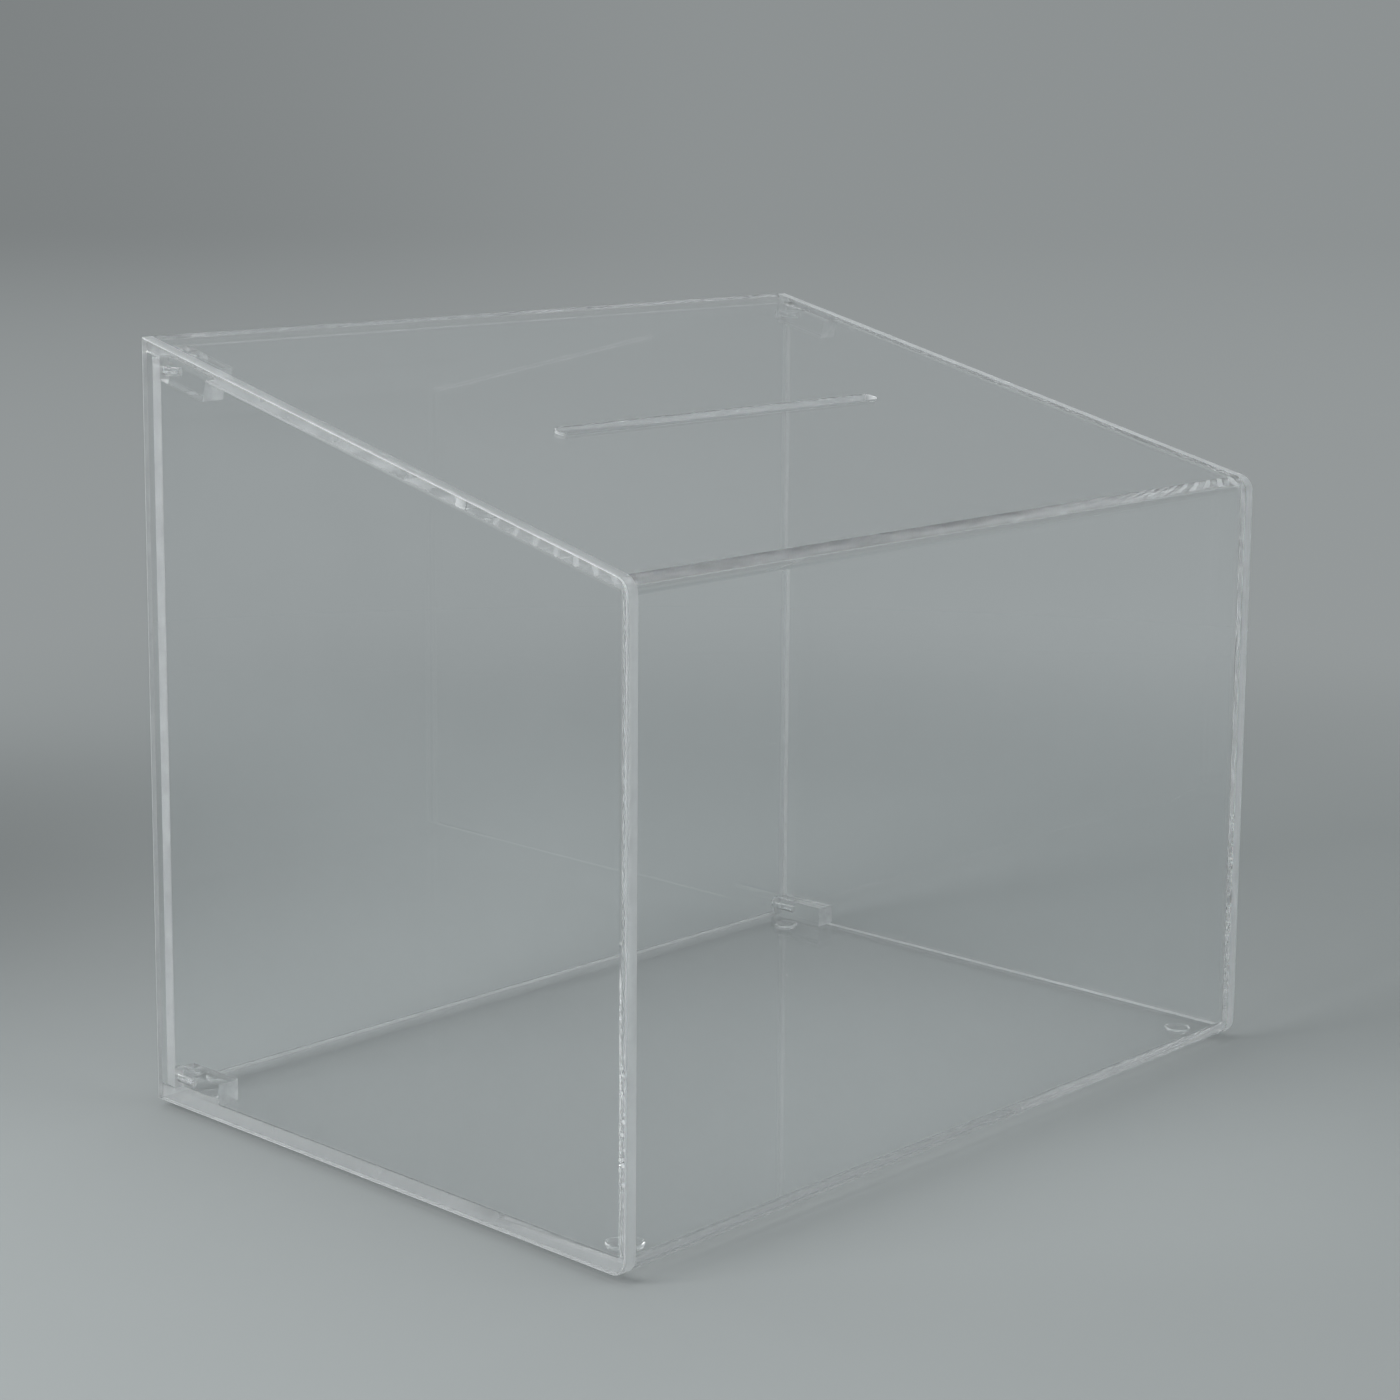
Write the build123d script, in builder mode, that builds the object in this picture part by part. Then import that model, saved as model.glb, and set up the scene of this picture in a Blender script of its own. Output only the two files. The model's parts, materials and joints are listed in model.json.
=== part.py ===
# Ballot box of clear cast sheet: one heat-bent wrap, two cemented side panels, a recessed back panel.
# Millimetres. +X is right, the front faces -Y and +Z is up.
# The origin is on the ground, under the middle of the footprint.
import math
import os

from build123d import *

os.makedirs("parts", exist_ok=True)

# Overall sizes of the body, without its feet
width = 432.0
body_depth = 305.0
back_height = 353.9
front_height = 280.0

# Sheets and how they are worked
wrap_sheet_thickness = 6.0
side_sheet_thickness = 6.0
panel_sheet_thickness = 6.0
bend_inner_radius = 2.0
edge_round = 0.5

# Voting slot in the sloping top, set back from the front face
slot_length = 216.0
slot_width = 7.0
slot_setback = 150.0

# Back panel, which sits in the rear opening, a little in from the body's rear edges
panel_recess = 3.0
panel_clearance = 0.5
seat_gap = 0.15

# Corner blocks that take the panel's screws
block_length = 33.0
block_width = 11.0
block_height = 10.0
top_bore_drop = 6.2
bore_spare = 2.0

# Clear screws with low domed heads
screw_radius = 2.0
screw_head_radius = 4.0
screw_head_height = 2.6
screw_head_rim = 0.9
screw_length = 16.0
screw_tip_chamfer = 0.5
screw_play = 0.05
panel_hole_play = 0.3
drive_width = 1.1
drive_depth = 1.2
screw_turns = (25.0, -40.0, 70.0, 10.0)

# Domed bumper feet
foot_radius = 6.35
foot_height = 3.6
foot_rim = 0.5
foot_flat_radius = 1.5
foot_inset = 22.0

# How far cutting shapes run past the sheet they cut
overrun = 1.0

# Places worked out from the sizes above
front_face = -body_depth / 2
rear_plane = front_face + body_depth
panel_rear = rear_plane - panel_recess
panel_front = panel_rear - panel_sheet_thickness
block_rear = panel_front - seat_gap
underside = foot_height
wrap_width = width - 2 * side_sheet_thickness
slope = math.atan2(back_height - front_height, body_depth)
slope_rise = math.tan(slope)
wrap_drop = wrap_sheet_thickness / math.cos(slope)
block_drop = block_height / math.cos(slope)
base_top = underside + wrap_sheet_thickness
top_underside_at_block = underside + back_height - wrap_drop - (rear_plane - block_rear) * slope_rise
block_x = wrap_width / 2 - block_width / 2
bottom_bore_z = base_top + block_height / 2
top_bore_z = top_underside_at_block - top_bore_drop
bore_depth = screw_length - panel_sheet_thickness - seat_gap + bore_spare
foot_x = width / 2 - foot_inset
foot_rows = {"front": front_face + foot_inset, "back": rear_plane - foot_inset}

corners = {
    "top_left": (-block_x, top_bore_z),
    "top_right": (block_x, top_bore_z),
    "bottom_left": (-block_x, bottom_bore_z),
    "bottom_right": (block_x, bottom_bore_z),
}


def body_outline(inset, corner_radius, rear_overrun):
    # Closed outline of the body seen from its left, moved inwards by inset
    floor = underside + inset
    front = front_face + inset
    front_top = underside + front_height - inset / math.cos(slope) + inset * slope_rise
    rear = rear_plane + rear_overrun
    rear_top = front_top + (rear - front) * slope_rise
    with BuildSketch() as outline:
        with BuildLine():
            Polyline((rear, floor), (front, floor), (front, front_top), (rear, rear_top), close=True)
        make_face()
        fillet(outline.vertices().sort_by(Axis.X)[:2], corner_radius)
    return outline.sketch


def save(part, name):
    part.label = name
    export_step(part, f"parts/{name}.step")


# Wrap: base, front and sloping top from one sheet with two round bends, and the voting slot
slot_y = front_face + slot_setback
slot_z = underside + front_height + slot_setback * slope_rise
top_plane = Plane(origin=(0, slot_y, slot_z), x_dir=(1, 0, 0), z_dir=(0, -math.sin(slope), math.cos(slope)))

with BuildPart() as wrap:
    with BuildSketch(Plane.YZ):
        add(body_outline(0, bend_inner_radius + wrap_sheet_thickness, 0))
        add(body_outline(wrap_sheet_thickness, bend_inner_radius, overrun), mode=Mode.SUBTRACT)
    extrude(amount=wrap_width / 2, both=True)
    with BuildSketch(top_plane):
        SlotOverall(slot_length, slot_width)
    extrude(amount=wrap_sheet_thickness + overrun, both=True, mode=Mode.SUBTRACT)
    top_faces = wrap.faces().filter_by(top_plane)
    slot_rims = [edge for face in top_faces for wire in face.inner_wires() for edge in wire.edges()]
    fillet(slot_rims, edge_round)

save(wrap.part, "wrap_sheet")


# Side panels: flat sheets cemented over the wrap's cut edges, trimmed flush with its bends
def side_panel(side):
    with BuildPart() as panel:
        with BuildSketch(Plane.YZ.offset(side * wrap_width / 2)):
            add(body_outline(0, bend_inner_radius + wrap_sheet_thickness, 0))
        extrude(amount=side * side_sheet_thickness)
        outer_face = panel.faces().sort_by(Axis.X)[0 if side < 0 else -1]
        fillet(outer_face.edges(), edge_round)
    return panel.part


save(side_panel(-1), "left_side_panel")
save(side_panel(1), "right_side_panel")


# Corner blocks: the bottom pair stands on the base, the top pair hangs under the sloping top
def bottom_block(x):
    with BuildPart() as block:
        with BuildSketch(Plane.XY.offset(base_top)):
            with Locations((x, block_rear - block_length / 2)):
                Rectangle(block_width, block_length)
        extrude(amount=block_height)
        add_bore(x, bottom_bore_z)
    return block.part


def top_block(x):
    front_y = block_rear - block_length
    rear_top = top_underside_at_block
    front_top = rear_top - block_length * slope_rise
    # The front end is cut square to the block's own length
    front_bottom_y = front_y + block_height * math.sin(slope)
    front_bottom = front_top - block_height * math.cos(slope)
    with BuildPart() as block:
        with BuildSketch(Plane.YZ.offset(x - block_width / 2)):
            with BuildLine():
                Polyline(
                    (front_y, front_top),
                    (block_rear, rear_top),
                    (block_rear, rear_top - block_drop),
                    (front_bottom_y, front_bottom),
                    close=True,
                )
            make_face()
        extrude(amount=block_width)
        add_bore(x, top_bore_z)
    return block.part


def add_bore(x, z):
    # Blind screw bore, drilled square to the back panel
    with Locations(Plane(origin=(x, block_rear, z), x_dir=(1, 0, 0), z_dir=(0, 1, 0))):
        Hole(screw_radius + screw_play, depth=bore_depth)


for corner, (x, z) in corners.items():
    make_block = top_block if corner.startswith("top") else bottom_block
    save(make_block(x), f"block_{corner}")


# Back panel: flat sheet that drops into the rear opening, against the blocks, with four screw holes
with BuildPart() as back_panel:
    panel_bottom = base_top + panel_clearance
    panel_top = top_underside_at_block + seat_gap * slope_rise - panel_clearance
    with BuildSketch(Plane.XZ.offset(-panel_front)):
        with Locations((0, (panel_bottom + panel_top) / 2)):
            Rectangle(wrap_width - 2 * panel_clearance, panel_top - panel_bottom)
    extrude(amount=-panel_sheet_thickness)
    fillet(back_panel.edges(), edge_round)
    for x, z in corners.values():
        with Locations(Plane(origin=(x, panel_rear, z), x_dir=(1, 0, 0), z_dir=(0, 1, 0))):
            Hole(screw_radius + panel_hole_play, depth=panel_sheet_thickness + overrun)

save(back_panel.part, "back_panel")


# Screws: low domed head with a straight drive slot, plain shank as long as the threaded one
def head_middle(x):
    # Point half way along the head's dome
    rise = screw_head_height - screw_head_rim
    dome_radius = (screw_head_radius**2 + rise**2) / (2 * rise)
    half_angle = math.asin(screw_head_radius / dome_radius) / 2
    crown = panel_rear + screw_head_height
    return x + dome_radius * math.sin(half_angle), crown - dome_radius * (1 - math.cos(half_angle))


def screw(x, z, turn):
    head_top = panel_rear + screw_head_height
    tip = panel_rear - screw_length
    rim = panel_rear + screw_head_rim
    with BuildPart() as body:
        with BuildSketch(Plane.XY.offset(z)):
            with BuildLine():
                ThreePointArc((x, head_top), head_middle(x), (x + screw_head_radius, rim))
                Polyline(
                    (x + screw_head_radius, rim),
                    (x + screw_head_radius, panel_rear),
                    (x + screw_radius, panel_rear),
                    (x + screw_radius, tip + screw_tip_chamfer),
                    (x + screw_radius - screw_tip_chamfer, tip),
                    (x, tip),
                    (x, head_top),
                )
            make_face()
        revolve(axis=Axis((x, 0, z), (0, 1, 0)))
        with BuildSketch(Plane(origin=(x, head_top, z), x_dir=(1, 0, 0), z_dir=(0, 1, 0))):
            Rectangle(2 * (screw_head_radius + overrun), drive_width, rotation=turn)
        extrude(amount=-drive_depth, mode=Mode.SUBTRACT)
    return body.part


for (corner, (x, z)), turn in zip(corners.items(), screw_turns):
    save(screw(x, z, turn), f"screw_{corner}")


# Bumper feet: low domes with a short straight rim, stuck under the base near its corners
dome_rise = foot_height - foot_rim
dome_centre = (foot_radius**2 + dome_rise**2 - foot_flat_radius**2) / (2 * dome_rise)
dome_radius = math.hypot(foot_flat_radius, dome_centre)
flat_angle = math.atan2(foot_flat_radius, dome_centre)
rim_angle = math.atan2(foot_radius, dome_centre - dome_rise)
middle_angle = (flat_angle + rim_angle) / 2


def foot(x, y):
    middle = (x + dome_radius * math.sin(middle_angle), dome_centre - dome_radius * math.cos(middle_angle))
    with BuildPart() as bumper:
        with BuildSketch(Plane.XZ.offset(-y)):
            with BuildLine():
                ThreePointArc((x + foot_flat_radius, 0), middle, (x + foot_radius, dome_rise))
                Polyline(
                    (x + foot_radius, dome_rise),
                    (x + foot_radius, foot_height),
                    (x, foot_height),
                    (x, 0),
                    (x + foot_flat_radius, 0),
                )
            make_face()
        revolve(axis=Axis((x, y, 0), (0, 0, 1)))
    return bumper.part


for row, y in foot_rows.items():
    save(foot(-foot_x, y), f"foot_{row}_left")
    save(foot(foot_x, y), f"foot_{row}_right")
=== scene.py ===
import json
import math

import bmesh
import bpy
from mathutils import Matrix, Vector

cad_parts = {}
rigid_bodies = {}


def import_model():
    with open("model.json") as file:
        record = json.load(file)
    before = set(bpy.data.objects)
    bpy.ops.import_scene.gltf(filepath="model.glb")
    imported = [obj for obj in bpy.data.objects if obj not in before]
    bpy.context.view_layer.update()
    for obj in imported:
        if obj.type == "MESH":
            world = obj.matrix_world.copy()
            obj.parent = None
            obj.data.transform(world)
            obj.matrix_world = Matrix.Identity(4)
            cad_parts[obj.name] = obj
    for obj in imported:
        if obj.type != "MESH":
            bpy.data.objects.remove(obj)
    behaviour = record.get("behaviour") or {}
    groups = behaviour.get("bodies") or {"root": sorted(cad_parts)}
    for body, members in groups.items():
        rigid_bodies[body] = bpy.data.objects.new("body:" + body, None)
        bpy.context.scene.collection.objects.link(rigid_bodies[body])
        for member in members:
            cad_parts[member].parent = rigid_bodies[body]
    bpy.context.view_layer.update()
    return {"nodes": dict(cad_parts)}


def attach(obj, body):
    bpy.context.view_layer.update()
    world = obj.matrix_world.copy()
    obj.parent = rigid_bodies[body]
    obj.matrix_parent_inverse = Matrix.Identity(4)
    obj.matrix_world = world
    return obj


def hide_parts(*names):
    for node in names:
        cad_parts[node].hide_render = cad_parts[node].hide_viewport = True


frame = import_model()
mm = 0.001  # every size below is in millimetres unless its note says metres
print("frame loaded:", len(frame["nodes"]), "nodes")

# the box as it is cut and bent
boxSize = {
    "width": 432.0,
    "bodyDepth": 305.0,
    "backHeight": 353.9,
    "frontHeight": 280.0,
    "sheet": 6.0,
    "bendInside": 2.0,
    "bendSteps": 24,
    "edgeRound": 0.5,
    "edgeSteps": 3,
    "footHeight": 3.6,
    "toolOverrun": 1.0,
    "cementDip": 0.5,
    "cementFillet": 0.8,
}
sheet = boxSize["sheet"]
halfWidth = boxSize["width"] / 2
innerHalf = halfWidth - sheet
frontFace = -boxSize["bodyDepth"] / 2
rearPlane = -frontFace
underside = boxSize["footHeight"]
baseTop = underside + sheet
slope = math.atan2(boxSize["backHeight"] - boxSize["frontHeight"], boxSize["bodyDepth"])
slopeRise, slopeSine, slopeCosine = math.tan(slope), math.sin(slope), math.cos(slope)

# what the rear opening holds
rearFit = {
    "recess": 3.0,
    "panelGap": 0.5,
    "seatGap": 0.15,
    "blockLength": 33.0,
    "blockWidth": 11.0,
    "blockHeight": 10.0,
    "topBoreDrop": 6.2,
    "boreRadius": 2.05,
    "boreDepth": 11.85,
    "boreSteps": 32,
}
panelRear = rearPlane - rearFit["recess"]
panelFront = panelRear - sheet
blockRear = panelFront - rearFit["seatGap"]
topUnder = underside + boxSize["backHeight"] - sheet / slopeCosine - (rearPlane - blockRear) * slopeRise
boreX = innerHalf - rearFit["blockWidth"] / 2
corners = {
    "top_left": (-boreX, topUnder - rearFit["topBoreDrop"]),
    "top_right": (boreX, topUnder - rearFit["topBoreDrop"]),
    "bottom_left": (-boreX, baseTop + rearFit["blockHeight"] / 2),
    "bottom_right": (boreX, baseTop + rearFit["blockHeight"] / 2),
}


# mesh helpers
def newObject(name, mesh, body=None):
    obj = bpy.data.objects.new(name, mesh)
    bpy.context.scene.collection.objects.link(obj)
    if body:
        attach(obj, body)
    return obj


def toMesh(bm, name):
    bmesh.ops.recalc_face_normals(bm, faces=bm.faces)
    mesh = bpy.data.meshes.new(name)
    bm.to_mesh(mesh)
    bm.free()
    return mesh


def skin(rings, name):
    # closed skin over rings of points with the same count, flat caps at both ends
    bm = bmesh.new()
    rows = [[bm.verts.new(Vector(point) * mm) for point in ring] for ring in rings]
    bm.faces.new(rows[0])
    bm.faces.new(rows[-1])
    count = len(rows[0])
    for lower, upper in zip(rows, rows[1:]):
        for i in range(count):
            j = (i + 1) % count
            bm.faces.new([lower[i], lower[j], upper[j], upper[i]])
    return toMesh(bm, name)


def combine(target, tool, operation):
    # boolean of two objects, applied, and the tool removed
    modifier = target.modifiers.new("combine", "BOOLEAN")
    modifier.operation = operation
    modifier.solver = "MANIFOLD"
    modifier.object = tool
    depsgraph = bpy.context.evaluated_depsgraph_get()
    target.data = bpy.data.meshes.new_from_object(target.evaluated_get(depsgraph))
    target.modifiers.clear()
    bpy.data.objects.remove(tool)


def circlePoints(middle, radius, steps, along):
    # circle about a line along X, Y or Z, as points in millimetres
    points = []
    for i in range(steps):
        angle = 2 * math.pi * i / steps
        a, b = radius * math.cos(angle), radius * math.sin(angle)
        offset = {"x": (0, a, b), "y": (a, 0, b), "z": (a, b, 0)}[along]
        points.append(tuple(m + o for m, o in zip(middle, offset)))
    return points


def bendPoints(before, corner, after, radius, steps):
    # arc that rounds a corner of an outline
    a = (Vector(before) - Vector(corner)).normalized()
    b = (Vector(after) - Vector(corner)).normalized()
    half = a.angle(b) / 2
    centre = Vector(corner) + (a + b).normalized() * radius / math.sin(half)
    first = Vector(corner) + a * radius / math.tan(half) - centre
    last = Vector(corner) + b * radius / math.tan(half) - centre
    turn = math.pi - 2 * half
    sign = 1 if first.x * last.y - first.y * last.x > 0 else -1
    points = []
    for i in range(steps + 1):
        angle = sign * turn * i / steps
        c, s = math.cos(angle), math.sin(angle)
        points.append((centre.x + first.x * c - first.y * s, centre.y + first.x * s + first.y * c))
    return points


def outlinePoints(inset, radius, rearExtra):
    # side outline of the body in (y, z), from the rear bottom corner round to the rear top
    floor = underside + inset
    front = frontFace + inset
    frontTop = underside + boxSize["frontHeight"] - inset / slopeCosine + inset * slopeRise
    rear = rearPlane + rearExtra
    rearTop = frontTop + (rear - front) * slopeRise
    steps = boxSize["bendSteps"]
    points = [(rear, floor)]
    points += bendPoints((rear, floor), (front, floor), (front, frontTop), radius, steps)
    points += bendPoints((front, floor), (front, frontTop), (rear, rearTop), radius, steps)
    return points + [(rear, rearTop)]


def roundSteps(radius, steps):
    # (distance in from the end, inset) along a rounded edge
    angles = [math.pi / 2 * i / steps for i in range(steps + 1)]
    return [(radius * (1 - math.cos(angle)), radius * (1 - math.sin(angle))) for angle in angles]


# points closer than this are one, in millimetres; faces flatter than this are one, in radians
meshCare = {"weldWithin": 0.001, "flatWithin": 0.002, "flatWeight": 100}


def finishSolid(obj, names, chooseFinish, sharpAngle, cutsAtX=()):
    # clean the mesh, give each face its finish by name and keep flat faces flat
    mesh = obj.data
    mesh.materials.clear()
    for name in names:
        mesh.materials.append(finishes[name])
    bm = bmesh.new()
    bm.from_mesh(mesh)
    weld = meshCare["weldWithin"] * mm
    bmesh.ops.remove_doubles(bm, verts=bm.verts, dist=weld)
    for x in cutsAtX:
        everything = bm.verts[:] + bm.edges[:] + bm.faces[:]
        bmesh.ops.bisect_plane(bm, geom=everything, dist=weld, plane_co=(x * mm, 0, 0), plane_no=(1, 0, 0))
    bm.normal_update()
    for face in bm.faces:
        face.material_index = names.index(chooseFinish(face.calc_center_median() / mm, face.normal))
        face.smooth = True
    flat = meshCare["flatWithin"]
    bmesh.ops.dissolve_limit(bm, angle_limit=flat, verts=bm.verts, edges=bm.edges, delimit={"MATERIAL"})
    bm.to_mesh(mesh)
    bm.free()
    mesh.set_sharp_from_angle(angle=math.radians(sharpAngle))
    weighted = obj.modifiers.new("flatFaces", "WEIGHTED_NORMAL")
    weighted.keep_sharp = True
    weighted.weight = meshCare["flatWeight"]


# materials
def newMaterial(name):
    material = bpy.data.materials.new(name)
    material.use_nodes = True
    material.node_tree.nodes.clear()
    return material.node_tree


def addNode(tree, kind, inputs=None, **settings):
    node = tree.nodes.new(kind)
    for key, value in settings.items():
        setattr(node, key, value)
    for key, value in (inputs or {}).items():
        if hasattr(value, "is_output"):
            tree.links.new(value, node.inputs[key])
        else:
            node.inputs[key].default_value = value
    return node


def toneRange(tree, value, fromPair, toPair, steps="SMOOTHSTEP"):
    # one range mapped to another
    inputs = {"Value": value}
    inputs["From Min"], inputs["From Max"] = fromPair
    inputs["To Min"], inputs["To Max"] = toPair
    return addNode(tree, "ShaderNodeMapRange", inputs, interpolation_type=steps).outputs["Result"]


def multiplied(tree, *values):
    result = values[0]
    for value in values[1:]:
        result = addNode(tree, "ShaderNodeMath", {0: result, 1: value}, operation="MULTIPLY").outputs[0]
    return result


noiseLook = {"range": (0.3, 0.7), "detail": 4.0}  # the noise's values lie mostly in this range


def noiseShare(tree, scale, share):
    # noise fixed to the piece, mapped to a share between two limits
    place = addNode(tree, "ShaderNodeTexCoord").outputs["Object"]
    cloudLook = {"Vector": place, "Scale": scale, "Detail": noiseLook["detail"]}
    noise = addNode(tree, "ShaderNodeTexNoise", cloudLook)
    return toneRange(tree, noise.outputs["Fac"], noiseLook["range"], share, "LINEAR")


throughShare = 0.5  # half of the scattered light goes on through


def milkyShader(tree, colour):
    # white scatter that shows from both sides of a sheet
    front = addNode(tree, "ShaderNodeBsdfDiffuse", {"Color": (*colour, 1)})
    through = addNode(tree, "ShaderNodeBsdfTranslucent", {"Color": (*colour, 1)})
    pair = {"Fac": throughShare, 1: front.outputs[0], 2: through.outputs[0]}
    return addNode(tree, "ShaderNodeMixShader", pair).outputs[0]


tints = {
    "sheet": (0.99, 0.998, 1.0),
    "worked": (0.98, 0.99, 1.0),
    "bumper": (0.99, 0.99, 0.985),
    "screw": (0.99, 0.995, 1.0),
}
# milk is the share of white scatter, pass the share of lamp light that goes through
clearLooks = {
    "polishedSheet": {"roughness": 0.0, "tint": "sheet", "milk": (0.004, 0.012), "scale": 35.0, "pass": 1.0},
    "cutEdge": {"roughness": 0.25, "tint": "worked", "milk": (0.38, 0.5), "scale": 60.0, "pass": 0.4},
    # painted shade: less white scatter than cutEdge, for the left panel's up-facing edges
    "smoothEdge": {"roughness": 0.3, "tint": "worked", "milk": (0.2, 0.28), "scale": 60.0, "pass": 0.4},
    # painted light: the most white scatter, for the right panel's edges and the eased corners where highlights
    # fall
    "roundedEdge": {"roughness": 0.3, "tint": "worked", "milk": (0.66, 0.8), "scale": 60.0, "pass": 0.5},
    "rearEdge": {"roughness": 0.12, "tint": "worked", "milk": (0.03, 0.1), "scale": 160.0, "pass": 0.6},
    "routedWall": {"roughness": 0.03, "tint": "worked", "milk": (0.0, 0.02), "scale": 240.0, "pass": 0.8},
    # painted highlight: the slot's round ends get nearly all white scatter, standing for the light they
    # refract
    "routedEnd": {"roughness": 0.3, "tint": "worked", "milk": (0.85, 1.0), "scale": 240.0, "pass": 0.6},
    "sawnBlock": {"roughness": 0.2, "tint": "worked", "milk": (0.3, 0.45), "scale": 240.0, "pass": 0.7},
    "mouldedBumper": {"roughness": 0.02, "tint": "bumper", "milk": (0.01, 0.04), "scale": 300.0, "pass": 0.9},
    "mouldedScrew": {"roughness": 0.05, "tint": "screw", "milk": (0.03, 0.08), "scale": 300.0, "pass": 0.9},
}
plasticIor = 1.49
# share of lamp light that one face lets through, straight on and at a grazing angle
lampPass = {"blend": 0.5, "power": 5.0, "straight": 0.96, "grazing": 0.3}
milkWhite = (0.86, 0.88, 0.89)


def clearPlastic(name):
    # clear acrylic: it bends what is seen through it, and lamp light goes straight on through a stand-in
    look = clearLooks[name]
    tree = newMaterial(name)
    glass = addNode(
        tree,
        "ShaderNodeBsdfPrincipled",
        {
            "Base Color": (*tints[look["tint"]], 1),
            "Transmission Weight": 1.0,
            "IOR": plasticIor,
            "Roughness": look["roughness"],
        },
    )
    milkShare = noiseShare(tree, look["scale"], look["milk"])
    milk = milkyShader(tree, milkWhite)
    worked = addNode(tree, "ShaderNodeMixShader", {"Fac": milkShare, 1: glass.outputs[0], 2: milk})
    tilt = addNode(tree, "ShaderNodeLayerWeight", {"Blend": lampPass["blend"]}).outputs["Facing"]
    grazing = addNode(tree, "ShaderNodeMath", {0: tilt, 1: lampPass["power"]}, operation="POWER")
    limits = (lampPass["straight"] * look["pass"], lampPass["grazing"] * look["pass"])
    passed = toneRange(tree, grazing.outputs[0], (0.0, 1.0), limits, "LINEAR")
    lampPath = addNode(tree, "ShaderNodeBsdfTransparent", {"Color": passed})
    rays = addNode(tree, "ShaderNodeLightPath").outputs
    lampRays = {0: rays["Is Shadow Ray"], 1: rays["Is Diffuse Ray"]}
    either = addNode(tree, "ShaderNodeMath", lampRays, operation="MAXIMUM").outputs[0]
    shown = addNode(tree, "ShaderNodeMixShader", {"Fac": either, 1: worked.outputs[0], 2: lampPath.outputs[0]})
    addNode(tree, "ShaderNodeOutputMaterial", {"Surface": shown.outputs[0]})
    return bpy.data.materials[name]


seamLook = {
    "film": (0.09, 0.15),
    "filmScale": 45.0,
    "bubbleScale": 330.0,
    "bubbleSize": (0.28, 0.38),
    "clusterScale": 22.0,
    "clusterLevel": (0.36, 0.52),
    "lowEnd": (0.015, 0.03),
    "highEnd": (0.08, 0.15),
    "bubbleWhite": 0.9,
}


def seamFilm(name):
    # solvent cement between two sheets: nearly clear, with fine bubbles that gather low down
    tree = newMaterial(name)
    place = addNode(tree, "ShaderNodeTexCoord").outputs["Object"]
    film = noiseShare(tree, seamLook["filmScale"], seamLook["film"])
    cells = addNode(tree, "ShaderNodeTexVoronoi", {"Vector": place, "Scale": seamLook["bubbleScale"]})
    dots = toneRange(tree, cells.outputs["Distance"], seamLook["bubbleSize"], (1.0, 0.0), "LINEAR")
    clusters = addNode(tree, "ShaderNodeTexNoise", {"Vector": place, "Scale": seamLook["clusterScale"]})
    gathered = toneRange(tree, clusters.outputs["Fac"], seamLook["clusterLevel"], (0.0, 1.0), "LINEAR")
    height = addNode(tree, "ShaderNodeSeparateXYZ", {0: place}).outputs["Z"]
    rise = toneRange(tree, height, seamLook["lowEnd"], (0.0, seamLook["bubbleWhite"]), "LINEAR")
    fall = toneRange(tree, height, seamLook["highEnd"], (1.0, 0.0), "LINEAR")
    bubbles = multiplied(tree, dots, rise, fall, gathered)
    share = addNode(tree, "ShaderNodeMath", {0: film, 1: bubbles}, operation="MAXIMUM")
    clear = addNode(tree, "ShaderNodeBsdfTransparent")
    milk = milkyShader(tree, milkWhite)
    shown = addNode(tree, "ShaderNodeMixShader", {"Fac": share.outputs[0], 1: clear.outputs[0], 2: milk})
    addNode(tree, "ShaderNodeOutputMaterial", {"Surface": shown.outputs[0]})
    return bpy.data.materials[name]


finishes = {name: clearPlastic(name) for name in clearLooks}
cement = seamFilm("seamCement")
print("materials ready:", len(finishes) + 1)


# the cemented body: wrap, side panels and corner blocks, which show as one clear solid
slotSize = {
    "length": 216.0,
    "width": 7.0,
    "setback": 150.0,
    "reach": 8.0,
    "endSteps": 16,
    "rimRound": 0.5,
    "rimReach": 1.0,
}


def outerSkin():
    stations = []
    for fromEnd, inset in roundSteps(boxSize["edgeRound"], boxSize["edgeSteps"]):
        stations.append((-halfWidth + fromEnd, inset))
    stations += [(-innerHalf, 0.0), (innerHalf, 0.0)]
    stations += [(-x, inset) for x, inset in reversed(stations[:-2])]
    radius = boxSize["bendInside"] + sheet
    rings = [[(x, y, z) for y, z in outlinePoints(inset, radius - inset, -inset)] for x, inset in stations]
    return skin(rings, "outerSkin")


def insideTool():
    # the hollow, a little smaller at its ends, where cement has run into the corners
    fillet = boxSize["cementFillet"]
    rings = []
    stations = ((-innerHalf, fillet), (fillet - innerHalf, 0), (innerHalf - fillet, 0), (innerHalf, fillet))
    for x, inset in stations:
        outline = outlinePoints(sheet + inset, boxSize["bendInside"] - inset, boxSize["toolOverrun"] + inset)
        rings.append([(x, y, z) for y, z in outline])
    return newObject("insideTool", skin(rings, "inside"))


def slotTool():
    # round-ended slot through the top, a little wider at each face where its rim is eased
    steps = slotSize["endSteps"]
    half = (slotSize["length"] - slotSize["width"]) / 2
    y0 = frontFace + slotSize["setback"]
    z0 = underside + boxSize["frontHeight"] + slotSize["setback"] * slopeRise
    rim = slotSize["rimRound"]
    eased = roundSteps(rim, boxSize["edgeSteps"])
    levels = [(slotSize["reach"], rim)]
    levels += [(-fromEnd, inset) for fromEnd, inset in eased]
    levels += [(-sheet + fromEnd, inset) for fromEnd, inset in reversed(eased)]
    levels += [(-sheet - slotSize["reach"], rim)]
    rings = []
    for level, wider in levels:
        radius = slotSize["width"] / 2 + wider
        ring = []
        for side in (1, -1):
            for i in range(steps + 1):
                angle = math.pi * i / steps - math.pi / 2
                x, v = side * (half + radius * math.cos(angle)), side * radius * math.sin(angle)
                y = y0 + v * slopeCosine - level * slopeSine
                z = z0 + v * slopeSine + level * slopeCosine
                ring.append((x, y, z))
        rings.append(ring)
    return newObject("slotTool", skin(rings, "slot"))


def blockTool(side, outline):
    x0 = side * (innerHalf + boxSize["cementDip"])
    x1 = side * (innerHalf - rearFit["blockWidth"])
    return newObject("blockTool", skin([[(x, y, z) for y, z in outline] for x in (x0, x1)], "block"))


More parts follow.
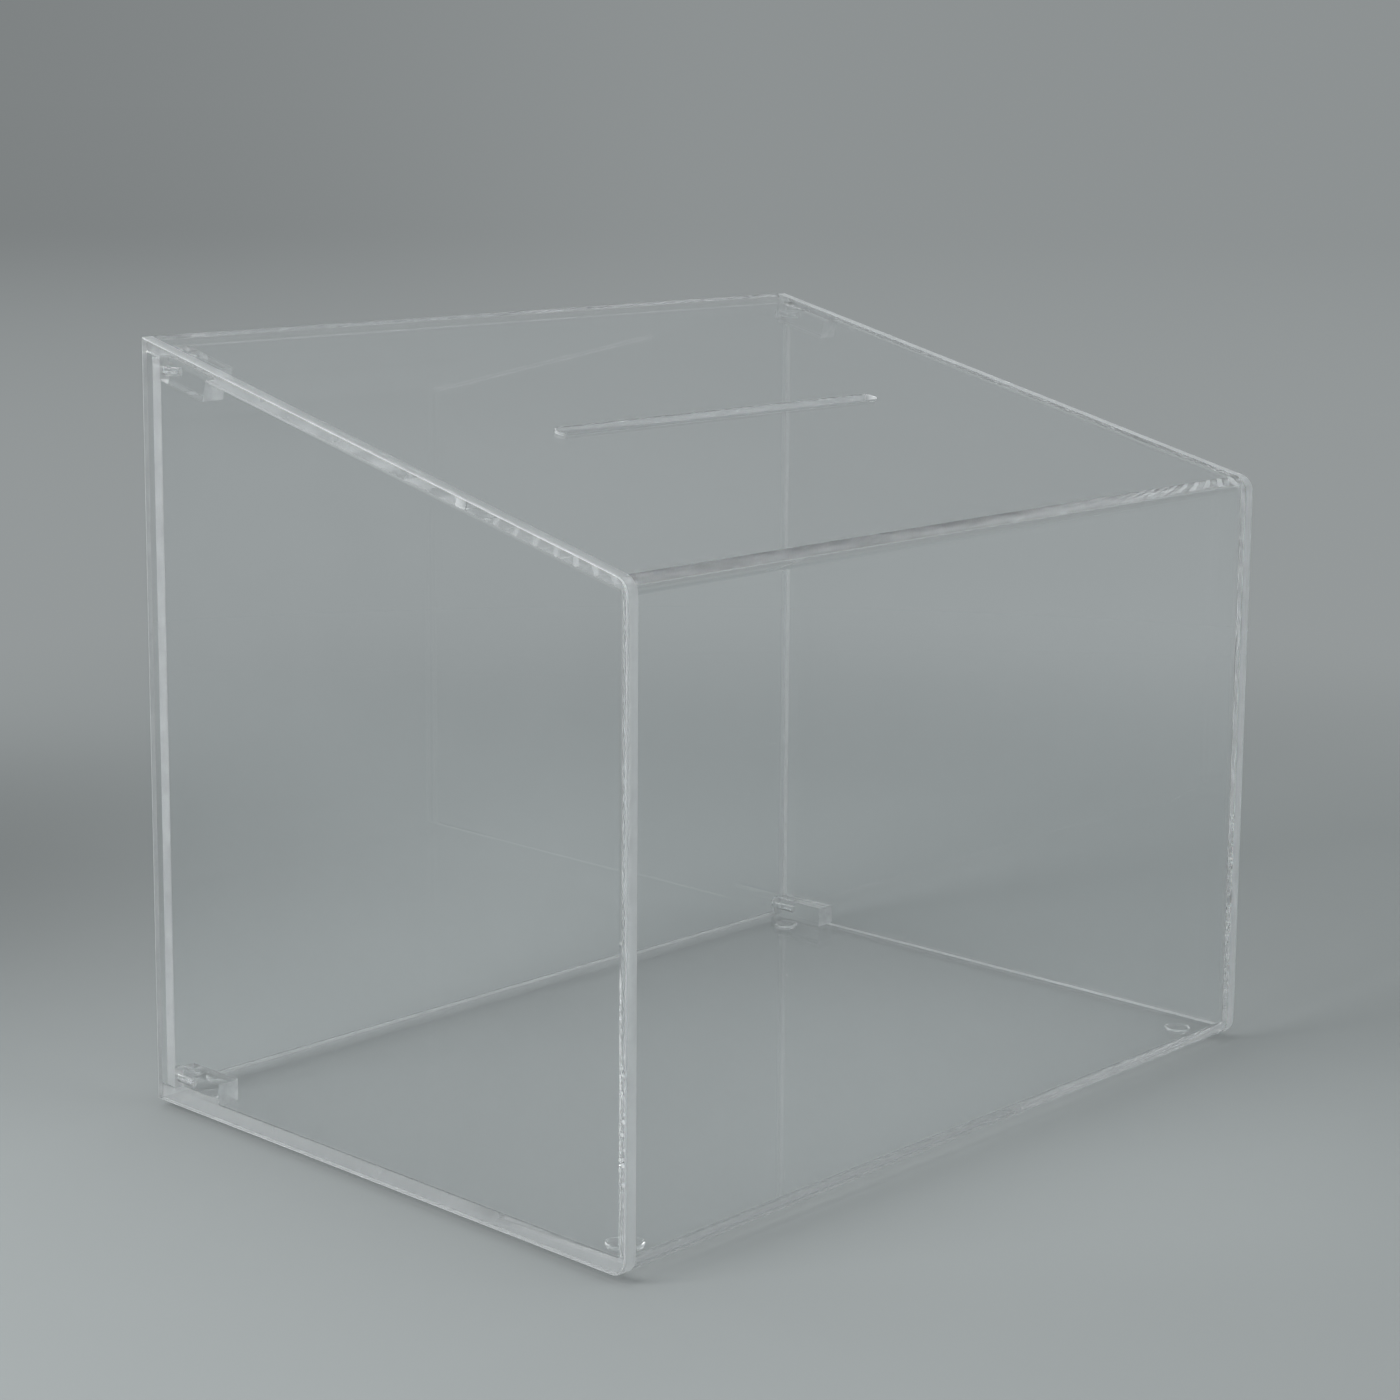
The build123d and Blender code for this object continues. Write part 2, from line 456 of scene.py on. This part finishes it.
def blockOutlines():
    dip, length, height = boxSize["cementDip"], rearFit["blockLength"], rearFit["blockHeight"]
    blockFront = blockRear - length
    frontUnder = topUnder - length * slopeRise
    low = [
        (blockRear, baseTop - dip),
        (blockFront, baseTop - dip),
        (blockFront, baseTop + height),
        (blockRear, baseTop + height),
    ]
    high = [
        (blockRear, topUnder + dip),
        (blockRear, topUnder - height / slopeCosine),
        (blockFront + height * slopeSine, frontUnder - height * slopeCosine),
        (blockFront - dip * slopeSine, frontUnder + dip * slopeCosine),
    ]
    return low, high


bodyFinishes = (
    "polishedSheet",
    "cutEdge",
    "routedWall",
    "sawnBlock",
    "roundedEdge",
    "rearEdge",
    "routedEnd",
    "smoothEdge",
)
# limits on a face's normal, and in millimetres how near to a plane it counts as on it
faceRules = {"square": 0.9, "sideFace": 0.99, "flatCut": 0.05, "slotEnd": 0.3, "pastSeam": 0.01, "near": 0.1}
sheetSharpAngle = 40


def makeBody():
    body = newObject("clearBody", outerSkin(), "shell")
    combine(body, insideTool(), "DIFFERENCE")
    combine(body, slotTool(), "DIFFERENCE")
    for side in (-1, 1):
        for outline in blockOutlines():
            combine(body, blockTool(side, outline), "UNION")
    for x, z in corners.values():
        rings = [
            circlePoints((x, y, z), rearFit["boreRadius"], rearFit["boreSteps"], "y")
            for y in (blockRear - rearFit["boreDepth"], blockRear + boxSize["toolOverrun"] / 2)
        ]
        combine(body, newObject("boreTool", skin(rings, "bore")), "DIFFERENCE")

    slotY = frontFace + slotSize["setback"]
    blockFront = blockRear - rearFit["blockLength"]

    def chooseFinish(middle, normal):
        x, y, z = middle
        square, near = faceRules["square"], faceRules["near"]
        if abs(x) > innerHalf + faceRules["pastSeam"] and abs(normal.x) < faceRules["sideFace"]:
            # the side panels' edges: painted light whitens the right panel's edges and the eased corners most,
            # painted shade makes the left panel's up-facing edges less white
            if x > 0 or abs(normal.x) > faceRules["flatCut"]:
                return "roundedEdge"
            return "smoothEdge" if normal.z > square else "cutEdge"
        if normal.y > square and y > rearPlane - near:
            return "rearEdge"
        inSlot = abs(y - slotY) < slotSize["width"] and abs(x) < slotSize["length"] / 2 + slotSize["rimReach"]
        if inSlot and abs(normal.y * slopeSine - normal.z * slopeCosine) < square and z > baseTop + sheet:
            # painted highlight: the slot's round ends take the nearly white finish
            return "routedWall" if abs(normal.x) < faceRules["slotEnd"] else "routedEnd"
        onBlock = abs(x) > innerHalf - rearFit["blockWidth"] - near and blockFront - near < y < panelRear
        if onBlock and abs(normal.y) > square:
            return "sawnBlock"
        return "polishedSheet"

    finishSolid(body, bodyFinishes, chooseFinish, sheetSharpAngle, (-innerHalf, innerHalf))
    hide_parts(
        "wrap_sheet",
        "left_side_panel",
        "right_side_panel",
        "block_top_left",
        "block_top_right",
        "block_bottom_left",
        "block_bottom_right",
    )
    return body


clearBody = makeBody()
print("body:", len(clearBody.data.polygons), "faces")


# cement lines between the wrap's cut edges and the side panels
filmSize = {"outerInset": 0.4, "innerInset": 0.1}


def seamStrip(name, x):
    radius = boxSize["bendInside"] + sheet
    outerInset, innerInset = filmSize["outerInset"], filmSize["innerInset"]
    outer = outlinePoints(outerInset, radius - outerInset, -outerInset)
    inner = outlinePoints(sheet - innerInset, boxSize["bendInside"] + innerInset, -outerInset)
    bm = bmesh.new()
    rows = [[bm.verts.new((x * mm, y * mm, z * mm)) for y, z in row] for row in (outer, inner)]
    for i in range(len(outer) - 1):
        bm.faces.new([rows[0][i], rows[0][i + 1], rows[1][i + 1], rows[1][i]])
    strip = newObject(name, toMesh(bm, name), "shell")
    strip.data.materials.append(cement)


seamStrip("seamLeft", -innerHalf)
seamStrip("seamRight", innerHalf)


# back panel: flat sheet with eased edges and four plain holes
panelLook = {
    "cornerRadius": 0.6,
    "cornerSteps": 3,
    "edgeRound": 0.4,
    "holeRadius": 2.3,
    "holeSteps": 32,
    "holeReach": 1.0,
}


def makePanel():
    bottom = baseTop + rearFit["panelGap"]
    top = topUnder + rearFit["seatGap"] * slopeRise - rearFit["panelGap"]
    halfAcross = innerHalf - rearFit["panelGap"]
    middle, halfUp = (bottom + top) / 2, (top - bottom) / 2
    eased = roundSteps(panelLook["edgeRound"], boxSize["edgeSteps"])
    levels = [(panelFront + fromEnd, inset) for fromEnd, inset in eased]
    levels += [(panelRear - fromEnd, inset) for fromEnd, inset in reversed(eased)]
    steps = panelLook["cornerSteps"]
    rings = []
    for y, inset in levels:
        radius = panelLook["cornerRadius"] - inset
        a, b = halfAcross - inset - radius, halfUp - inset - radius
        ring = []
        for quarter, (sx, sz) in enumerate(((1, 1), (-1, 1), (-1, -1), (1, -1))):
            for i in range(steps + 1):
                angle = math.pi / 2 * (quarter + i / steps)
                across, up = sx * a + radius * math.cos(angle), sz * b + radius * math.sin(angle)
                ring.append((across, y, middle + up))
        rings.append(ring)
    panel = newObject("recessedPanel", skin(rings, "recessedPanel"), "back")
    for x, z in corners.values():
        ends = (panelFront - boxSize["toolOverrun"], panelRear + boxSize["toolOverrun"])
        rings = [circlePoints((x, y, z), panelLook["holeRadius"], panelLook["holeSteps"], "y") for y in ends]
        combine(panel, newObject("holeTool", skin(rings, "hole")), "DIFFERENCE")

    def chooseFinish(middlePoint, normal):
        if abs(normal.y) > faceRules["square"]:
            return "polishedSheet"
        reach = panelLook["holeRadius"] + panelLook["holeReach"]
        nearHole = any(math.hypot(middlePoint.x - x, middlePoint.z - z) < reach for x, z in corners.values())
        return "routedWall" if nearHole else "cutEdge"

    finishSolid(panel, ("polishedSheet", "cutEdge", "routedWall"), chooseFinish, sheetSharpAngle)
    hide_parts("back_panel")


makePanel()
print("seams and back panel made")


# clear screws: low domed head with a straight drive slot, threaded shank
screwSize = {
    "radius": 2.0,
    "headRadius": 4.0,
    "headHeight": 2.6,
    "headRim": 0.9,
    "length": 16.0,
    "driveWidth": 1.1,
    "driveDepth": 1.2,
    "pitch": 0.7,
    "threadDepth": 0.32,
    "ringsPerTurn": 6,
    "steps": 32,
    "domeSteps": 8,
    "underHeadGap": 0.03,
    "tipChamfer": 0.5,
    "sharpAngle": 30,
    "turns": {"top_left": 25.0, "top_right": -40.0, "bottom_left": 70.0, "bottom_right": 10.0},
}


def makeScrew(corner, x, z):
    size = screwSize
    steps = size["steps"]
    rise = size["headHeight"] - size["headRim"]
    domeRadius = (size["headRadius"] ** 2 + rise**2) / (2 * rise)
    fullAngle = math.asin(size["headRadius"] / domeRadius)
    crown = panelRear + size["headHeight"]
    tip = panelRear - size["length"]
    underHead = panelRear + size["underHeadGap"]
    rings = []
    for i in range(1, size["domeSteps"] + 1):
        angle = fullAngle * i / size["domeSteps"]
        y = crown - domeRadius * (1 - math.cos(angle))
        rings.append(circlePoints((x, y, z), domeRadius * math.sin(angle), steps, "y"))
    rings.append(circlePoints((x, underHead, z), size["headRadius"], steps, "y"))
    rings.append(circlePoints((x, underHead, z), size["radius"], steps, "y"))
    threadStart = underHead - size["pitch"]
    ringGap = size["pitch"] / size["ringsPerTurn"]
    count = int((threadStart - tip) / ringGap)
    for k in range(count):
        y = threadStart - k * ringGap
        fade = min(1.0, k / size["ringsPerTurn"])
        ring = []
        for i in range(steps):
            phase = (k / size["ringsPerTurn"] + i / steps) % 1.0
            depth = size["threadDepth"] * (1 - abs(2 * phase - 1)) * fade
            end = max(0.0, (tip + size["pitch"] - y) / size["pitch"]) * size["tipChamfer"]
            radius = size["radius"] - max(depth, end)
            angle = 2 * math.pi * i / steps
            ring.append((x + radius * math.cos(angle), y, z + radius * math.sin(angle)))
        rings.append(ring)
    rings.append(circlePoints((x, tip, z), size["radius"] - size["tipChamfer"], steps, "y"))
    screw = newObject(f"clearScrew_{corner}", skin(rings, "screw"), f"{corner}_screw")
    turn = math.radians(size["turns"][corner])
    along, across = Vector((math.cos(turn), -math.sin(turn))), Vector((math.sin(turn), math.cos(turn)))
    reach, half = size["headRadius"] + boxSize["toolOverrun"], size["driveWidth"] / 2
    driveRings = []
    for y in (crown - size["driveDepth"], crown + boxSize["toolOverrun"]):
        ring = []
        for a, b in ((1, 1), (-1, 1), (-1, -1), (1, -1)):
            point = along * (a * reach) + across * (b * half)
            ring.append((x + point.x, y, z + point.y))
        driveRings.append(ring)
    combine(screw, newObject("driveTool", skin(driveRings, "drive")), "DIFFERENCE")
    finishSolid(screw, ("mouldedScrew",), lambda middle, normal: "mouldedScrew", size["sharpAngle"])
    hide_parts(f"screw_{corner}")


for corner, (x, z) in corners.items():
    makeScrew(corner, x, z)
print("screws made")


# bumper feet: low clear domes stuck under the base
footSize = {
    "radius": 6.35,
    "rim": 0.5,
    "flatRadius": 1.5,
    "inset": 22.0,
    "steps": 64,
    "domeSteps": 14,
    "filmGap": 0.03,
    "sharpAngle": 35,
}


def makeFoot(name, x, y):
    size = footSize
    rise = underside - size["rim"]
    centre = (size["radius"] ** 2 + rise**2 - size["flatRadius"] ** 2) / (2 * rise)
    domeRadius = math.hypot(size["flatRadius"], centre)
    first = math.atan2(size["flatRadius"], centre)
    last = math.atan2(size["radius"], centre - rise)
    rings = []
    for i in range(size["domeSteps"] + 1):
        angle = first + (last - first) * i / size["domeSteps"]
        radius, z = domeRadius * math.sin(angle), centre - domeRadius * math.cos(angle)
        rings.append(circlePoints((x, y, z), radius, size["steps"], "z"))
    rings.append(circlePoints((x, y, underside - size["filmGap"]), size["radius"], size["steps"], "z"))
    foot = newObject(f"bumper_{name}", skin(rings, "bumper"), "shell")
    finishSolid(foot, ("mouldedBumper",), lambda middle, normal: "mouldedBumper", size["sharpAngle"])
    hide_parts(f"foot_{name}")


footX = halfWidth - footSize["inset"]
for row, y in (("front", frontFace + footSize["inset"]), ("back", rearPlane - footSize["inset"])):
    makeFoot(f"{row}_left", -footX, y)
    makeFoot(f"{row}_right", footX, y)
print("feet made")

# studio: paper floor that runs into a plain backdrop, all in metres; shade and light are painted on the
# floor's colour
studio = {
    "backdrop": (0.298, 0.319, 0.323),
    "paper": (0.307, 0.326, 0.328),
    "floorRadius": 60.0,
    "floorSides": 96,
    "floorDrop": 0.0002,
    "paperTo": 0.5,
    "backdropFrom": 1.3,
    # painted shade behind the box, painted shadow to its right, painted light under its front and a painted
    # pool of light further out
    "behindPlace": (-0.2, 0.72, 0.0),
    "behindSize": (0.1, 0.62),
    "behindTone": 0.6,
    "rightPlace": (0.42, -0.32, 0.0),
    "rightSize": (0.1, 0.45),
    "rightTone": 0.97,
    "underPlace": (0.08, -0.13, 0.0),
    "underSize": (0.05, 0.28),
    "underTone": 1.13,
    "frontPlace": (1.2, -1.3, 0.0),
    "frontSize": (0.3, 1.25),
    "frontTone": 1.5,
    "farFrom": (1.5, 9.0),
    "farTone": 0.9,
    "shadeDirection": (0.30, 0.954, 0.0),
    "shadeSpread": (0.86, 0.99),
    "shadeTone": 0.76,
    "mottleScale": 2.5,
    "mottleDetail": 5.0,
    "mottle": (0.985, 1.015),
    "ceilingHeight": (0.15, 0.7),
    "ceilingTone": 1.25,
}


def tinted(tree, colour, *tones):
    # a plain colour times the tones
    result = colour
    for tone in tones:
        result = addNode(tree, "ShaderNodeVectorMath", {0: result, 1: tone}, operation="MULTIPLY").outputs[0]
    return result


def shadedSide(tree, direction):
    # the backdrop darkens softly to one side
    aim = addNode(tree, "ShaderNodeVectorMath", {0: direction}, operation="NORMALIZE")
    pair = {0: aim.outputs[0], 1: studio["shadeDirection"]}
    facing = addNode(tree, "ShaderNodeVectorMath", pair, operation="DOT_PRODUCT")
    return toneRange(tree, facing.outputs["Value"], studio["shadeSpread"], (1.0, studio["shadeTone"]))


def makeFloor():
    bm = bmesh.new()
    bmesh.ops.create_circle(bm, cap_ends=True, radius=studio["floorRadius"], segments=studio["floorSides"])
    floor = newObject("floor", toMesh(bm, "floor"))
    floor.location.z = -studio["floorDrop"]
    tree = newMaterial("floorPaper")
    place = addNode(tree, "ShaderNodeNewGeometry").outputs["Position"]
    away = addNode(tree, "ShaderNodeVectorMath", {0: place}, operation="LENGTH").outputs["Value"]
    # painted shade behind the box and painted shadow to its right, painted light under its front, and a
    # painted pool of light further out that the backdrop shares
    paintedLightAndShade = []
    for name in ("behind", "right", "under", "front"):
        middle, size, tone = studio[f"{name}Place"], studio[f"{name}Size"], studio[f"{name}Tone"]
        offset = addNode(tree, "ShaderNodeVectorMath", {0: place, 1: middle}, operation="SUBTRACT").outputs[0]
        reach = addNode(tree, "ShaderNodeVectorMath", {0: offset}, operation="LENGTH").outputs["Value"]
        paintedLightAndShade.append(toneRange(tree, reach, size, (tone, 1.0)))
    cloudLook = {"Vector": place, "Scale": studio["mottleScale"], "Detail": studio["mottleDetail"]}
    cloud = addNode(tree, "ShaderNodeTexNoise", cloudLook)
    mottle = toneRange(tree, cloud.outputs["Fac"], noiseLook["range"], studio["mottle"], "LINEAR")
    paper = addNode(tree, "ShaderNodeBsdfDiffuse", {"Color": tinted(tree, studio["paper"], *paintedLightAndShade, mottle)})
    far = toneRange(tree, away, studio["farFrom"], (0.0, 1.0))
    farTone = toneRange(tree, far, (0.0, 1.0), (1.0, studio["farTone"]), "LINEAR")
    side = shadedSide(tree, place)
    sideFar = addNode(tree, "ShaderNodeMix", {0: far, 2: 1.0, 3: side})
    glowColour = tinted(tree, studio["backdrop"], farTone, sideFar.outputs[0], paintedLightAndShade[-1])
    glow = addNode(tree, "ShaderNodeEmission", {"Color": glowColour})
    fade = toneRange(tree, away, (studio["paperTo"], studio["backdropFrom"]), (0.0, 1.0))
    shown = addNode(tree, "ShaderNodeMixShader", {"Fac": fade, 1: paper.outputs[0], 2: glow.outputs[0]})
    addNode(tree, "ShaderNodeOutputMaterial", {"Surface": shown.outputs[0]})
    floor.data.materials.append(bpy.data.materials["floorPaper"])


def makeWorld():
    world = bpy.data.worlds.new("studio")
    bpy.context.scene.world = world
    world.use_nodes = True
    tree = world.node_tree
    tree.nodes.clear()
    direction = addNode(tree, "ShaderNodeTexCoord").outputs["Generated"]
    height = addNode(tree, "ShaderNodeSeparateXYZ", {0: direction}).outputs["Z"]
    ceiling = toneRange(tree, height, studio["ceilingHeight"], (studio["farTone"], studio["ceilingTone"]))
    side = shadedSide(tree, direction)
    colour = tinted(tree, studio["backdrop"], ceiling, side)
    background = addNode(tree, "ShaderNodeBackground", {"Color": colour, "Strength": 1.0})
    addNode(tree, "ShaderNodeOutputWorld", {"Surface": background.outputs[0]})


makeFloor()
makeWorld()

# soft boxes on both sides of the set: place and target in metres, power in watts
softBoxes = {
    "softboxLeft": {"place": (-2.06, 0.29, 1.35), "target": (0, 0, 0.15), "size": (1.2, 1.2), "power": 60},
    "softboxRight": {"place": (0.54, -2.0, 1.35), "target": (0, 0, 0.15), "size": (1.5, 1.5), "power": 13},
    "softboxTop": {"place": (-0.2, 0.1, 2.4), "target": (0, 0, 0), "size": (1.6, 1.2), "power": 8},
}
for name, box in softBoxes.items():
    light = bpy.data.lights.new(name, "AREA")
    light.shape = "RECTANGLE"
    light.size, light.size_y = box["size"]
    light.energy = box["power"]
    lamp = bpy.data.objects.new(name, light)
    bpy.context.scene.collection.objects.link(lamp)
    lamp.location = box["place"]
    lamp.rotation_euler = (Vector(box["target"]) - Vector(box["place"])).to_track_quat("-Z", "Y").to_euler()
print("studio lit")

# camera, fitted to the photograph's edges; place in metres, angles in radians, focal length in picture widths
cameraFit = {
    "place": (-1.0046, -0.9311, 0.4691),
    "yaw": 0.8166,
    "pitch": -0.1552,
    "roll": 0.0071,
    "focal": 2.1109,
    "shift": -0.1071,
    "sensor": 36.0,
    "near": 0.01,
    "far": 100.0,
}


def makeCamera():
    fit = cameraFit
    camera = bpy.data.cameras.new("camera")
    cameraObj = bpy.data.objects.new("camera", camera)
    bpy.context.scene.collection.objects.link(cameraObj)
    bpy.context.scene.camera = cameraObj
    camera.sensor_width = fit["sensor"]
    camera.lens = fit["focal"] * fit["sensor"]
    camera.shift_y = fit["shift"]
    camera.clip_start, camera.clip_end = fit["near"], fit["far"]
    flat = math.cos(fit["pitch"])
    look = Vector((math.sin(fit["yaw"]) * flat, math.cos(fit["yaw"]) * flat, math.sin(fit["pitch"])))
    right = Vector((math.cos(fit["yaw"]), -math.sin(fit["yaw"]), 0))
    up = right.cross(look)
    c, s = math.cos(fit["roll"]), math.sin(fit["roll"])
    right, up = c * right + s * up, c * up - s * right
    rotation = Matrix((right, up, -look)).transposed()
    cameraObj.matrix_world = Matrix.Translation(fit["place"]) @ rotation.to_4x4()


makeCamera()

# light runs along inside clear sheets, so it gets many bounces
bounces = {"all": 200, "transparent": 32}
scene = bpy.context.scene
scene.view_settings.view_transform = "Standard"
scene.cycles.max_bounces = bounces["all"]
scene.cycles.transmission_bounces = bounces["all"]
scene.cycles.glossy_bounces = bounces["all"]
scene.cycles.transparent_max_bounces = bounces["transparent"]
